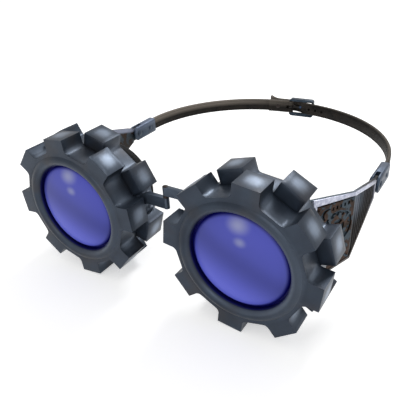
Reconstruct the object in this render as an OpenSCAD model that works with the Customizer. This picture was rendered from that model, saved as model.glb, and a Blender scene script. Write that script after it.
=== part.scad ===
// Goggles with two stacked gear rings round each lens, bent side plates and a buckled strap.
// The front of the lenses faces -Y, +Z is up, and left is the wearer's left, +X.
// The origin is on the resting plane, under the middle of the model's box.

/* [Gear rings] */
// Radius of the opening in the front ring
lip_r = 20; // [19:0.25:21]
// Distance from the opening to the outside of the barrel
barrel_step = 3; // [2.8:0.1:3.4]
// Wall of a ring between the barrel and the valley floors
ring_wall = 3.4; // [3.2:0.1:4]
// Height of the teeth
tooth_h = 5.6; // [5:0.1:6.4]
// Width of one tooth
tooth_w = 10.3; // [8:0.1:11]
// Teeth on each ring
teeth = 8; // [6:2:8]
// Thickness of one gear ring
gear_t = 10.4; // [9.5:0.1:12]
// Turn of the front ring's teeth from the level line, in degrees
tooth_turn = 6.9; // [5:0.1:8]
// Cut along the edges of the tooth tips
tip_cut = 0.4; // [0.3:0.1:1.2]
// Gap between the two cups' tooth tips
cup_gap = 15; // [13:0.5:20]

/* [Lens and barrel] */
// Radius of the rounded roll round the opening
roll_r = 2.6; // [2:0.1:2.8]
// How far the roll stands in front of the teeth
roll_rise = 0.8; // [0.3:0.1:1.4]
// Wall of the barrel round the lens
barrel_wall = 1.6; // [1.3:0.1:2]
// Thickness of the lens
lens_t = 2; // [1.6:0.1:2.6]
// Height of the lens dome
lens_dome = 3.4; // [2:0.1:4]
// Thickness of the lens gasket
gasket_t = 1.2; // [0.8:0.1:1.6]
// Wall of the rear neck
neck_wall = 1.5; // [1.3:0.1:1.8]
// Length of the neck behind the rear ring
neck_l = 5; // [4.6:0.1:6]

/* [Eye cushion] */
// Half of the cushion's thickness across its ring
pad_half_w = 2.2; // [1.9:0.1:2.3]
// Half of the cushion's depth
pad_half_d = 4.4; // [3.8:0.1:5]

/* [Temple plates] */
// Thickness of the plate
sheet_t = 1.2; // [1:0.1:1.4]
// Distance of the plate's rear run from the lens axis
temple_out = 26.7; // [26.2:0.1:28]
// Distance from the rear ring to the bend in the plate
bend_d = 21.2; // [19:0.2:22]
// Distance from the bend to the plate's rear end
rear_l = 30.4; // [30:0.1:36]
// Height of the plate at the rear ring
front_h = 37.2; // [36:0.2:38]
// Height of the plate at the bend
bend_h = 30; // [29:0.2:32]
// Width of the polished border at its top front corner
trim_w = 3.1; // [2.4:0.1:3.4]
// Thickness of the polished border
trim_t = 0.7; // [0.5:0.1:1]
// Thickness of the copper fretwork
fret_t = 0.7; // [0.5:0.1:1]
// Ribs on the plate's rear run
reeds = 9; // [5:1:10]

/* [Ferrules and strap] */
// Length of the ferrule
ferrule_l = 18.3; // [17.5:0.1:20]
// Thickness of the ferrule's broad walls
ferrule_wall = 1.3; // [1.1:0.1:1.5]
// Thickness of the ferrule's narrow walls
ferrule_edge = 0.6; // [0.5:0.1:0.9]
// Radius of the pivot rivet
pivot_r = 1.1; // [0.9:0.05:1.3]
// Height of the strap
strap_w = 6.8; // [6.4:0.1:7.2]
// Thickness of the strap
strap_t = 1.8; // [1.6:0.1:2]
// Height of the strap's middle above the lens centres
strap_z = 2.1; // [1:0.1:3]
// Depth of the strap's curve behind the ferrules
loop_d = 61; // [56:0.5:66]
// Radius of the holes in the strap
hole_r = 0.75; // [0.6:0.05:0.9]
// How far the strap's free end curls outwards
curl_d = 5.6; // [3:0.2:7]

/* [Buckle] */
// Length of the buckle frame along the strap
buckle_l = 15; // [14.4:0.1:16]
// Width of the buckle frame's sides
buckle_bar = 1.4; // [1.2:0.1:1.5]
// Width of the tongue
tongue_w = 1.7; // [1.5:0.1:1.9]
// Thickness of the tongue
tongue_t = 1; // [0.9:0.05:1.1]

/* [Bridge] */
// Thickness of the bridge arms
arm_t = 2.2; // [1.9:0.1:2.6]
// Height of the lower arm's bottom edge above the lens centres
arm_low_z = 4.6; // [4.2:0.1:5]
// Height of the lower arm
arm_low_h = 4.8; // [4.4:0.1:5]
// Height of the upper arm
arm_high_h = 3.8; // [3.4:0.1:4.2]
// Radius of the knuckles round the bridge pin
knuckle_r = 1.2; // [1.1:0.05:1.4]

/* [Hidden] */
$fn = 64;

// Clearances
run_gap = 0.3;
ring_fit = 0.08;
press_gap = 0.05;
pin_fit = 0.06;
soft_gap = 0.1;
over = 0.5;

// Gear rings, along the lens axis from the front face at zero
barrel_r = lip_r + barrel_step;
root_r = barrel_r + ring_wall;
tip_r = root_r + tooth_h;
cup_x = tip_r + cup_gap / 2;
pitch = 360 / teeth;
rear_y = gear_t + run_gap;
back_y = rear_y + gear_t;
tip_half_angle = asin(tooth_w / 2 / tip_r);
root_half_angle = asin(tooth_w / 2 / root_r);
tip_flat = tip_r * cos(tip_half_angle);
valley_half_angle = pitch / 2 - root_half_angle;
floor_d = root_r * cos(valley_half_angle);
rest_h = max([for (k = [0 : teeth - 1], s = [-1, 1], turn = [0, pitch / 2])
    tip_r * sin(tooth_turn + turn + k * pitch + s * tip_half_angle)]);
roll_c = [lip_r + roll_r, roll_r - roll_rise];
lip_y = roll_c[1] + roll_r * 0.3;

// Lens, gasket and barrel
seat_r = barrel_r - barrel_wall;
lens_r = seat_r - soft_gap;
lens_y = lip_y + run_gap;
dome_r = lip_r - run_gap - soft_gap;
gasket_y = lens_y + lens_t;
seat_y = gasket_y + gasket_t;
bore_r = lens_r - gasket_t * 2;
dome_R = (dome_r * dome_r + lens_dome * lens_dome) / (2 * lens_dome);
cone_y0 = back_y - gear_t * 0.8;
cone_y1 = back_y - gear_t * 0.4;
neck_out = barrel_r - barrel_step * 2.43;
neck_r = neck_out - neck_wall;
neck_y = back_y + neck_l;

// Eye cushion
pad_c = [neck_r + pad_half_w + soft_gap * 2, neck_y + pad_half_d * 0.47];
pad_front_y = back_y + neck_l * 0.66;
pad_sleeve_t = pad_half_w * 0.25;
pad_flare_share = 0.35;
pad_steps = 32;

// Temple plate, seen from above as a line along the middle of the sheet
foot_y = back_y + sheet_t / 2;
temple_x = cup_x + temple_out;
ferrule_h = strap_w + 2 * ferrule_edge;
ferrule_t = strap_t + 2 * ferrule_wall;
foot_x = cup_x + root_r * 0.36;
front_x = cup_x + root_r * 0.62;
bend_y = back_y + bend_d;
rear_end_y = bend_y + rear_l;
pivot_y = rear_end_y + ferrule_h / 2;
panel_angle = atan2(bend_y - foot_y, temple_x - front_x);
panel_l = norm([temple_x - front_x, bend_y - foot_y]);
tail_r = ferrule_h * 0.42;
plate_line = [
    [foot_x, foot_y], [front_x, foot_y], [temple_x, bend_y], [temple_x, pivot_y + tail_r + over]
];
ear_z0 = root_r * 0.515;
ear_z1 = front_h / 2 - sheet_t / 4;
screw_at = [cup_x + root_r * 0.48, root_r * 0.615];
screw_r = 0.9;
screw_head_r = 1.7;
screw_head_h = 1;
screw_l = 4;

// Polished border: front strip, and the width left along the other edges
trim_front_w = trim_w * 0.52;
trim_thin = trim_w * 0.4;
trim_end_y = rear_end_y - ferrule_h * 0.15;

// Fretwork on the front panel, measured along the panel and upwards
fret_s0 = (trim_front_w + sheet_t + (sheet_t / 2 + trim_t) * cos(panel_angle)) / sin(panel_angle) + soft_gap * 2;
fret_s1 = panel_l - sheet_t / 2;
fret_top = [front_h / 2 - trim_w - run_gap * 2, bend_h / 2 - trim_thin - run_gap];
fret_low = [-front_h / 2 + trim_thin + run_gap * 2, -bend_h / 2 + trim_thin + run_gap];
fret_w = fret_s1 - fret_s0;
fret_h = fret_top[1] - fret_low[1];
fret_bar = fret_w * 0.055;
big_cog_r = fret_w * 0.37;
small_cog_r = fret_w * 0.2;
big_cog_at = [fret_s0 + fret_w * 0.56, fret_low[1] + fret_h * 0.6];
small_cog_at = [fret_s0 + fret_w * 0.31, fret_low[1] + fret_h * 0.22];
stud_r = 0.8;
stud_points = [
    [fret_s0 + stud_r * 1.2, fret_top[0] - stud_r * 1.4], [fret_s1 - stud_r * 1.2, fret_top[1] - stud_r * 1.4],
    [fret_s0 + stud_r * 1.2, fret_low[0] + stud_r * 1.4], [fret_s1 - stud_r * 1.2, fret_low[1] + stud_r * 1.4]
];

// Ferrule and pivot
mouth_y = rear_end_y + ferrule_l;
slot_half = sheet_t / 2 + run_gap;
slot_end_y = pivot_y + tail_r + run_gap;
pocket_y = slot_end_y + sheet_t;
corner_r = ferrule_t * 0.28;
pivot_head_r = pivot_r * 1.6;
head_h = 0.5;
clinch_r = 0.7;
clinch_head_r = 1.2;
clinch_y = (pocket_y + mouth_y) / 2;

// Strap loop: straight in the ferrules, then half an ellipse
loop_steps = 26;
loop_back_y = mouth_y + loop_d;
function loop_y(x) = mouth_y + loop_d * sqrt(1 - (x / temple_x) * (x / temple_x));
function loop_angle(x) = atan2(-loop_d * x / temple_x, sqrt(temple_x * temple_x - x * x));

// Buckle, on the strap loop at the back
heel_x = -buckle_l * 0.42;
heel_r = buckle_bar / 2;
eye_wall = strap_t * 0.5;
eye_in = heel_r + soft_gap;
eye_out = eye_in + eye_wall;
end_x = heel_x + buckle_l - buckle_bar;
heel_c = [heel_x, loop_y(heel_x)];
end_c = [end_x, loop_y(end_x) + strap_t / 2 + soft_gap * 2 + buckle_bar / 2];
frame_angle = atan2(end_c[1] - heel_c[1], end_c[0] - heel_c[0]);
frame_l = norm(end_c - heel_c);
frame_h = strap_w + 2 * (buckle_bar + soft_gap * 1.5);
frame_r = buckle_bar * 1.2;
tail_lift = eye_out + soft_gap * 2 + strap_t / 2;
lift_x0 = end_x - buckle_bar;
lift_x1 = heel_x + buckle_bar;
tail_l = buckle_l * 1.1;
tail_steps = 12;
tail_curl_share = 0.58;
function tail_at(k) = let (x = lift_x1 - tail_l * k, c = max(0, (k - 1 + tail_curl_share) / tail_curl_share))
    [x, loop_y(x) + tail_lift + curl_d * pow(c, 2.4)];
tongue_end_c = end_c + [0, buckle_bar / 2 + run_gap + tongue_t / 2];
tongue_angle = atan2(tongue_end_c[1] - heel_c[1], tongue_end_c[0] - heel_c[0]);
tongue_l = norm(tongue_end_c - heel_c) + buckle_bar * 0.8;
tongue_in = heel_r + pin_fit;
tongue_out = tongue_in + tongue_t * 0.75;
slot_x0 = heel_x + buckle_bar * 1.8;
slot_x1 = end_x - buckle_bar * 1.6;
slot_w = tongue_w + 2 * run_gap;
hole_pitch = 4.2;
holes_at = [end_x - hole_pitch * 0.35, end_x + hole_pitch * 0.65, end_x + hole_pitch * 1.65];
lap_l = buckle_l * 0.75;
lap_t = strap_t / 2;
lap_rivet_x = heel_x - lap_l * 0.66;

// Bridge
arm_y = rear_y + gear_t * 0.33;
arm_high_z = arm_low_z + arm_low_h + run_gap * 4;
foot_t = 1.5;
foot_w = 2 * (root_r * sin(valley_half_angle) - run_gap);
foot_y0 = rear_y + gear_t * 0.06;
foot_y1 = back_y - gear_t * 0.06;
floor_at = [cup_x - floor_d * cos(tooth_turn), floor_d * sin(tooth_turn)];
flank_angle = tooth_turn + pitch / 2 - tip_half_angle;
flank_tip = [cup_x - tip_r * cos(flank_angle), tip_r * sin(flank_angle)];
bridge_pin_r = knuckle_r * 0.5;
pin_head_r = knuckle_r * 1.05;
pin_head_h = head_h * 0.7;
foot_screw_y = back_y - gear_t * 0.3;
foot_screw_w = foot_w * 0.3;
foot_screw_r = 0.7;
foot_head_r = 1.25;
foot_head_h = 0.6;
foot_screw_l = 2.4;

// Middle and height of the whole model
tail_tip = side_line([tail_at(1 - 1 / tail_steps), tail_at(1)], -strap_t / 2)[1];
model_back_y = tail_tip[1];
model_mid_y = (model_back_y - roll_rise) / 2;

steel = [0.33, 0.37, 0.43];
dark_steel = [0.25, 0.28, 0.33];
silver = [0.78, 0.8, 0.84];
copper = [0.46, 0.31, 0.23];
leather = [0.25, 0.23, 0.21];
glass = [0.34, 0.35, 0.68];
rubber = [0.1, 0.1, 0.11];

// Moves the model from the lens centres to its place on the resting plane
module placed() {
    translate([0, -model_mid_y, rest_h]) children();
}

// Left is drawn as it is, right is its mirror image
module side(left) {
    placed() if (left) children(); else mirror([1, 0, 0]) children();
}

// Turns a shape about +Z into one about the lens axis of the left cup
module on_cup() {
    translate([cup_x, 0, 0]) rotate([-90, 0, 0]) children();
}

// A tube about the lens axis, from y0 to y1
module tube(r_out, r_in, y0, y1) {
    translate([0, 0, y0]) difference() {
        cylinder(r = r_out, h = y1 - y0);
        translate([0, 0, -over]) cylinder(r = r_in, h = y1 - y0 + 2 * over);
    }
}

// A band of even thickness along a line of points
function unit(v) = v / norm(v);
function line_dir(p, i) = unit(p[min(i + 1, len(p) - 1)] - p[max(i - 1, 0)]);
function line_normal(p, i) = [-line_dir(p, i)[1], line_dir(p, i)[0]];
function seg_dir(p, i) = unit(p[i + 1] - p[i]);
function miter(p, i) = i == 0 || i == len(p) - 1 ? 1
    : 1 / sqrt((1 + seg_dir(p, i - 1) * seg_dir(p, i)) / 2);
function corner_normal(p, i) = i == 0 || i == len(p) - 1 ? line_normal(p, i)
    : unit([-(seg_dir(p, i - 1) + seg_dir(p, i))[1], (seg_dir(p, i - 1) + seg_dir(p, i))[0]]);
function side_line(p, d) = [for (i = [0 : len(p) - 1]) p[i] + corner_normal(p, i) * miter(p, i) * d];
function reversed(p) = [for (i = [len(p) - 1 : -1 : 0]) p[i]];
module band(p, from, to) {
    polygon(concat(side_line(p, from), reversed(side_line(p, to))));
}

// Rectangle with round corners
module round_rect(w, h, r) {
    square([w - 2 * r, h], center = true);
    square([w, h - 2 * r], center = true);
    for (x = [-1, 1], y = [-1, 1]) translate([x * (w / 2 - r), y * (h / 2 - r)]) circle(r);
}

// Gear rings

// Outline of a ring with flat tooth tips and flat valley floors, first tooth at the given angle
function on_circle(r, a) = [r * cos(a), r * sin(a)];
module gear_outline(first) {
    polygon([for (k = [0 : teeth - 1]) let (a = first + k * pitch) each [
        on_circle(root_r, a - root_half_angle), on_circle(tip_r, a - tip_half_angle),
        on_circle(tip_r, a + tip_half_angle), on_circle(root_r, a + root_half_angle)
    ]]);
}

// Solid gear with the front and back edges of its tooth tips cut, from y0 backwards
module gear_blank(first, y0) {
    cut = tip_cut * sqrt(2);
    translate([0, 0, y0]) difference() {
        linear_extrude(gear_t) gear_outline(first);
        for (k = [0 : teeth - 1], z = [0, gear_t]) rotate(first + k * pitch) translate([tip_flat, 0, z])
            rotate([0, 45, 0]) cube([cut, tooth_w * 1.2, cut], center = true);
    }
}

module front_gear(left) {
    color(steel) side(left) on_cup() difference() {
        union() {
            gear_blank(tooth_turn, 0);
            rotate_extrude() translate(roll_c) circle(roll_r);
        }
        translate([0, 0, -roll_rise - over]) cylinder(r = lip_r, h = gear_t + roll_rise + 2 * over);
        translate([0, 0, lip_y]) cylinder(r = barrel_r + ring_fit, h = gear_t);
    }
}

module rear_gear(left) {
    color(steel) side(left) on_cup() difference() {
        gear_blank(tooth_turn + pitch / 2, rear_y);
        translate([0, 0, rear_y - over]) cylinder(r = barrel_r + press_gap, h = gear_t + 2 * over);
        for (s = [-1, 1]) rotate(180 + tooth_turn)
            translate([floor_d + foot_t - foot_screw_l, s * foot_screw_w, foot_screw_y]) rotate([0, 90, 0])
                cylinder(r = foot_screw_r + press_gap, h = foot_screw_l + over);
    }
}

// Lens, gasket, barrel and cushion

module eye_barrel(left) {
    color(dark_steel) side(left) difference() {
        on_cup() rotate_extrude() polygon([
            [seat_r, lens_y], [barrel_r, lens_y], [barrel_r, back_y],
            [neck_out, back_y], [neck_out, neck_y], [neck_r, neck_y], [neck_r, cone_y1],
            [bore_r, cone_y0], [bore_r, seat_y], [seat_r, seat_y]
        ]);
        for (s = [-1, 1]) translate([screw_at[0], back_y - screw_l + sheet_t, s * screw_at[1]])
            rotate([-90, 0, 0]) cylinder(r = screw_r + press_gap, h = screw_l);
    }
}

module lens(left) {
    color(glass) side(left) on_cup() difference() {
        union() {
            translate([0, 0, lens_y]) cylinder(r = lens_r, h = lens_t);
            intersection() {
                translate([0, 0, lens_y - lens_dome + dome_R]) sphere(dome_R, $fn = 96);
                translate([0, 0, lens_y - 2 * lens_dome]) cylinder(r = dome_r, h = 2 * lens_dome + over);
            }
        }
        intersection() {
            translate([0, 0, lens_y - lens_dome + dome_R]) sphere(dome_R - lens_t, $fn = 96);
            translate([0, 0, lens_y - 2 * lens_dome]) cylinder(r = bore_r, h = 4 * lens_dome + lens_t);
        }
    }
}

module lens_gasket(left) {
    color(rubber) side(left) on_cup() tube(lens_r, bore_r, gasket_y, seat_y);
}

// Radius of the cushion's outline at an angle, drawn in along its outer seam
function pad_share(a) = 1 - 0.07 * exp(-pow((a - 20) / 14, 2)) - 0.05 * exp(-pow((a - 150) / 18, 2));

function pad_point(a) = let (d = [pad_half_w * cos(a), pad_half_d * sin(a)] * pad_share(a))
    [max(neck_r + soft_gap, pad_c[0] + d[0] + pad_flare_share * d[1]), pad_c[1] + d[1]];

module eye_cushion(left) {
    color(leather) side(left) on_cup() rotate_extrude() difference() {
        union() {
            polygon([for (i = [0 : pad_steps - 1]) let (a = i * 360 / pad_steps)
                pad_point(a)]);
            translate([neck_out + press_gap, pad_front_y]) square([pad_sleeve_t, pad_c[1] - pad_front_y]);
        }
        translate([neck_r - pad_half_w, neck_y - 2 * pad_half_d]) square([
            neck_wall + pad_half_w + press_gap, 2 * pad_half_d + press_gap
        ]);
    }
}

// Temple plates

// Top and bottom of the plate's rear run at any distance from the front
function rear_share(y) = (y - bend_y) / rear_l;
function plate_top(y) = (bend_h / 2) * (1 - rear_share(y)) + (strap_z + ferrule_h / 2) * rear_share(y);
function plate_low(y) = (-bend_h / 2) * (1 - rear_share(y)) + (strap_z - ferrule_h / 2) * rear_share(y);

// Outline of the plate from the side, along Y and Z
module plate_outline() {
    for (s = [-1, 1]) polygon([
        [back_y, s * ear_z0], [back_y, s * ear_z1], [foot_y + sheet_t, s * ear_z1],
        [foot_y + sheet_t, s * ear_z0]
    ]);
    polygon([
        [foot_y + sheet_t / 2, -front_h / 2], [bend_y, -bend_h / 2], [rear_end_y, plate_low(rear_end_y)],
        [rear_end_y, plate_top(rear_end_y)], [bend_y, bend_h / 2], [foot_y + sheet_t / 2, front_h / 2]
    ]);
}

// Round tail that sits in the ferrule's fork
module tail_outline() {
    translate([pivot_y, strap_z]) circle(tail_r);
    translate([rear_end_y - over, strap_z - tail_r]) square([pivot_y - rear_end_y + over, 2 * tail_r]);
}

// Draws an outline of Y and Z as a solid that runs across X on the left side
module across(width) {
    translate([cup_x, 0, 0]) rotate([90, 0, 90]) linear_extrude(width) children();
}

module temple_plate(left) {
    reed_pitch = (trim_end_y - bend_y - trim_thin * 2) / (reeds + 1);
    color(steel) side(left) difference() {
        union() {
            intersection() {
                translate([0, 0, -front_h]) linear_extrude(2 * front_h)
                    band(plate_line, -sheet_t / 2, sheet_t / 2);
                across(temple_out + ferrule_t) union() {
                    plate_outline();
                    tail_outline();
                }
            }
            for (i = [1 : reeds]) let (
                y = bend_y + i * reed_pitch,
                z0 = plate_low(y) + trim_thin + run_gap * 2,
                z1 = plate_top(y) - trim_thin - run_gap * 2
            ) translate([temple_x + sheet_t / 2, y, z0]) cylinder(r = sheet_t * 0.4, h = z1 - z0, $fn = 24);
        }
        for (s = [-1, 1]) translate([screw_at[0], back_y - over, s * screw_at[1]])
            rotate([-90, 0, 0]) cylinder(r = screw_r + press_gap, h = sheet_t + 2 * over);
        translate([temple_x - sheet_t, pivot_y, strap_z]) rotate([0, 90, 0])
            cylinder(r = pivot_r + press_gap, h = 2 * sheet_t);
    }
}

// Polished border that runs round the edge of the plate's outer face
module trim_outline() {
    y0 = foot_y + sheet_t;
    y1 = trim_end_y;
    difference() {
        polygon([
            [y0, -front_h / 2], [bend_y, -bend_h / 2], [y1, plate_low(y1)], [y1, plate_top(y1)],
            [bend_y, bend_h / 2], [y0, front_h / 2]
        ]);
        polygon([
            [y0 + trim_front_w, -front_h / 2 + trim_thin], [bend_y, -bend_h / 2 + trim_thin],
            [y1 - trim_thin, plate_low(y1) + trim_thin], [y1 - trim_thin, plate_top(y1) - trim_thin],
            [bend_y, bend_h / 2 - trim_thin], [y0 + trim_front_w, front_h / 2 - trim_w]
        ]);
    }
}

module temple_trim(left) {
    color(silver) side(left) intersection() {
        translate([0, 0, -front_h]) linear_extrude(2 * front_h)
            band(plate_line, -sheet_t / 2 - trim_t, -sheet_t / 2);
        across(temple_out + ferrule_t) trim_outline();
    }
}

// Places a flat shape on the outer face of the plate's front panel
module on_front_panel() {
    translate([front_x, foot_y, 0]) rotate([90, 0, panel_angle])
        translate([0, 0, sheet_t / 2]) children();
}

// Wheel with square teeth, a ring and spokes that run on to the edge of its round window
module cog(r, count, spokes) {
    difference() {
        union() {
            circle(r * 0.82);
            for (k = [0 : count - 1]) rotate(k * 360 / count)
                translate([0, -r * 1.5 / count]) square([r * 0.96, r * 3 / count]);
        }
        circle(r * 0.56);
    }
    difference() {
        union() {
            circle(r * 0.3);
            for (k = [0 : spokes - 1]) rotate((k + 0.4) * 360 / spokes)
                translate([0, -fret_bar / 2]) square([r + fret_bar * 1.2, fret_bar]);
        }
        circle(r * 0.14);
    }
}

// Round window with a cog in it
module cog_window(r, count, spokes) {
    difference() {
        circle(r + fret_bar * 0.8);
        cog(r, count, spokes);
    }
}

// Window in the shape of a new moon, its horns turned to the given angle
module moon(r, turn) {
    rotate(turn) difference() {
        circle(r);
        translate([r * 0.55, 0]) circle(r * 0.85);
    }
}

module fret_outline() {
    difference() {
        polygon([[fret_s0, fret_low[0]], [fret_s1, fret_low[1]], [fret_s1, fret_top[1]], [fret_s0, fret_top[0]]]);
        translate(big_cog_at) cog_window(big_cog_r, 14, 4);
        translate(small_cog_at) cog_window(small_cog_r, 10, 3);
        translate([fret_s0 + fret_w * 0.24, fret_low[1] + fret_h * 0.9]) moon(fret_w * 0.13, -30);
        translate([fret_s0 + fret_w * 0.15, fret_low[1] + fret_h * 0.5]) moon(fret_w * 0.1, 15);
        translate([fret_s0 + fret_w * 0.72, fret_low[1] + fret_h * 0.26]) moon(fret_w * 0.15, 120);
        translate([fret_s0 + fret_w * 0.74, fret_low[1] + fret_h * 0.1]) moon(fret_w * 0.12, 200);
        for (k = [0 : 4]) translate([fret_s0 + fret_w * (0.42 + k * 0.105), fret_low[1] + fret_h * 0.945])
            square([fret_bar * 0.9, fret_h * 0.055], center = true);
        for (p = stud_points) translate(p) circle(stud_r * 0.5 + press_gap);
    }
}

module temple_fret(left) {
    color(copper) side(left) on_front_panel() linear_extrude(fret_t) fret_outline();
}

module fret_rivets(left) {
    color(silver) side(left) on_front_panel() for (p = stud_points) translate(p) {
        cylinder(r = stud_r * 0.5, h = fret_t + press_gap);
        intersection() {
            translate([0, 0, fret_t - stud_r * 0.4]) sphere(stud_r);
            translate([-stud_r, -stud_r, fret_t]) cube(stud_r * 2);
        }
    }
}

// Pan head with its shank along +Z, head on top
module screw(r, l, head_r, h) {
    translate([0, 0, -l]) cylinder(r = r, h = l);
    intersection() {
        cylinder(r = head_r, h = h);
        translate([0, 0, h - head_r * 1.6]) sphere(head_r * 1.6);
    }
}

module plate_screws(left) {
    color(dark_steel) side(left) for (s = [-1, 1])
        translate([screw_at[0], back_y + sheet_t, s * screw_at[1]]) rotate([-90, 0, 0])
            screw(screw_r, screw_l - press_gap, screw_head_r, screw_head_h);
}

module pivot_rivet(left) {
    reach = ferrule_t / 2 + run_gap / 2;
    color(silver) side(left) translate([temple_x, pivot_y, strap_z]) rotate([0, 90, 0]) {
        translate([0, 0, -reach]) cylinder(r = pivot_r, h = 2 * reach);
        for (s = [0, 1]) mirror([0, 0, s]) translate([0, 0, reach]) screw(pivot_r, head_h / 2, pivot_head_r, head_h);
    }
}

// Ferrule: fork for the plate in front, pocket for the strap behind

module ferrule(left) {
    color(steel) side(left) difference() {
        intersection() {
            translate([temple_x, mouth_y, strap_z]) rotate([90, 0, 0])
                linear_extrude(ferrule_l) round_rect(ferrule_t, ferrule_h, corner_r);
            translate([temple_x - ferrule_t, 0, strap_z]) rotate([90, 0, 90]) linear_extrude(2 * ferrule_t) {
                translate([pivot_y, 0]) circle(ferrule_h / 2);
                translate([pivot_y, -ferrule_h / 2]) square([mouth_y - pivot_y, ferrule_h]);
            }
        }
        translate([temple_x - slot_half, rear_end_y - over, strap_z - ferrule_h])
            cube([2 * slot_half, slot_end_y - rear_end_y + over, 2 * ferrule_h]);
        translate([temple_x - strap_t / 2 - soft_gap / 2, pocket_y, strap_z - strap_w / 2 - soft_gap / 2])
            cube([strap_t + soft_gap, mouth_y, strap_w + soft_gap]);
        translate([temple_x - ferrule_t, pivot_y, strap_z]) rotate([0, 90, 0])
            cylinder(r = pivot_r + pin_fit, h = 2 * ferrule_t);
        translate([temple_x - ferrule_t, clinch_y, strap_z]) rotate([0, 90, 0])
            cylinder(r = clinch_r + press_gap, h = 2 * ferrule_t);
    }
}

module ferrule_rivet(left) {
    color(silver) side(left) translate([temple_x, clinch_y, strap_z]) rotate([0, 90, 0]) {
        translate([0, 0, -ferrule_t / 2]) cylinder(r = clinch_r, h = ferrule_t);
        for (s = [0, 1]) mirror([0, 0, s]) translate([0, 0, ferrule_t / 2])
            screw(clinch_r, head_h / 2, clinch_head_r, head_h);
    }
}

// Strap

// Line of the loop from the left ferrule to a given x on the left half
function half_loop(x_end) = let (t_end = acos(x_end / temple_x)) concat(
    [[temple_x, pocket_y + soft_gap]],
    [for (i = [0 : loop_steps]) let (t = t_end * i / loop_steps)
        [temple_x * cos(t), mouth_y + loop_d * sin(t)]]
);

// Smooth step from 0 to 1
function ease(k) = let (c = max(0, min(1, k))) c * c * (3 - 2 * c);
lift_steps = 10;
function lifted_end() = [for (i = [1 : lift_steps]) let (x = lift_x0 + (lift_x1 - lift_x0) * i / lift_steps)
    [x, loop_y(x) + tail_lift * ease((lift_x0 - x) / (lift_x0 - lift_x1))]];

// Places a shape on the strap loop at x, with its own +Y pointing out of the loop
module on_loop(x, lift) {
    translate([x, loop_y(x) + lift, strap_z]) rotate([0, 0, loop_angle(x)]) children();
}

module strap_hole(x, lift) {
    on_loop(x, lift) rotate([90, 0, 0]) cylinder(r = hole_r, h = 3 * strap_t, center = true, $fn = 24);
}

// Free end of the strap, following the other strap and then curling away from it
function free_tail() = [for (i = [1 : tail_steps]) tail_at(i / tail_steps)];

module strap_left() {
    color(leather) placed() difference() {
        translate([0, 0, strap_z - strap_w / 2]) linear_extrude(strap_w)
            band(concat(half_loop(lift_x0), lifted_end(), free_tail()), -strap_t / 2, strap_t / 2);
        for (x = holes_at) strap_hole(x, 0);
        for (s = [-1, 1]) translate([tail_tip[0], tail_tip[1], strap_z + s * strap_w / 2])
            rotate([0, 45, 0]) cube([strap_w * 0.4, 4 * curl_d, strap_w * 0.4], center = true);
        translate([slot_x0, heel_c[1] - strap_t, strap_z - slot_w / 2])
            cube([slot_x1 - slot_x0, tail_lift + 3 * strap_t, slot_w]);
        translate([temple_x - ferrule_t, clinch_y, strap_z]) rotate([0, 90, 0])
            cylinder(r = clinch_r + press_gap, h = 2 * ferrule_t);
    }
}

module strap_right() {
    color(leather) placed() difference() {
        union() {
            translate([0, 0, strap_z - strap_w / 2]) linear_extrude(strap_w) mirror([1, 0]) {
                band(half_loop(-heel_x + eye_in), -strap_t / 2, strap_t / 2);
                band([for (i = [0 : 4]) let (x = -heel_x + eye_in + lap_l * i / 4) [x, loop_y(x)]],
                    -strap_t / 2 - lap_t, -strap_t / 2);
            }
            translate([heel_c[0], heel_c[1], strap_z - strap_w / 2]) cylinder(r = eye_out, h = strap_w);
        }
        translate([heel_c[0], heel_c[1], strap_z - strap_w]) cylinder(r = eye_in, h = 2 * strap_w);
        translate([heel_c[0] - eye_out - run_gap, heel_c[1] - 2 * eye_out, strap_z - slot_w / 2])
            cube([3 * eye_out, 4 * eye_out, slot_w]);
        on_loop(lap_rivet_x, 0) rotate([90, 0, 0])
            cylinder(r = clinch_r + press_gap, h = 4 * strap_t, center = true);
        mirror([1, 0, 0]) translate([temple_x - ferrule_t, clinch_y, strap_z]) rotate([0, 90, 0])
            cylinder(r = clinch_r + press_gap, h = 2 * ferrule_t);
    }
}

module strap_rivet() {
    color(silver) placed() on_loop(lap_rivet_x, 0) {
        translate([0, strap_t / 2 + press_gap, 0]) rotate([-90, 0, 0])
            screw(clinch_r, strap_t + lap_t, clinch_head_r, head_h * 0.7);
        translate([0, -strap_t / 2 - lap_t - press_gap, 0]) rotate([90, 0, 0])
            screw(clinch_r, strap_t / 2, clinch_head_r, head_h);
    }
}

// Buckle

module buckle_frame() {
    inner_l = frame_l - buckle_bar;
    color(steel) placed() translate([heel_c[0], heel_c[1], strap_z]) {
        cylinder(r = heel_r, h = frame_h - buckle_bar, center = true);
        rotate([0, 0, frame_angle]) translate([frame_l / 2, buckle_bar / 2, 0]) rotate([90, 0, 0])
            linear_extrude(buckle_bar) difference() {
                round_rect(frame_l + buckle_bar, frame_h, frame_r);
                translate([-buckle_bar, 0]) square([inner_l + 2 * buckle_bar, frame_h - 2 * buckle_bar], center = true);
            }
    }
}

module buckle_tongue() {
    color(dark_steel) placed() translate([heel_c[0], heel_c[1], strap_z]) difference() {
        union() {
            cylinder(r = tongue_out, h = tongue_w, center = true);
            rotate([0, 0, tongue_angle]) translate([tongue_in, -tongue_t / 2, -tongue_w / 2])
                cube([tongue_l - tongue_in, tongue_t, tongue_w]);
        }
        cylinder(r = tongue_in, h = 2 * tongue_w, center = true);
    }
}

// Bridge

// Flat foot on a valley floor of the rear ring, on the inner side of the left cup
module bridge_foot() {
    on_cup() rotate(180 + tooth_turn) translate([floor_d - over, -foot_w / 2, foot_y0])
        cube([foot_t + press_gap + over, foot_w, foot_y1 - foot_y0]);
}

module foot_screw_places() {
    on_cup() for (s = [-1, 1]) rotate(180 + tooth_turn)
        translate([floor_d + foot_t + press_gap, s * foot_screw_w, foot_screw_y]) rotate([0, 90, 0]) children();
}

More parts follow.
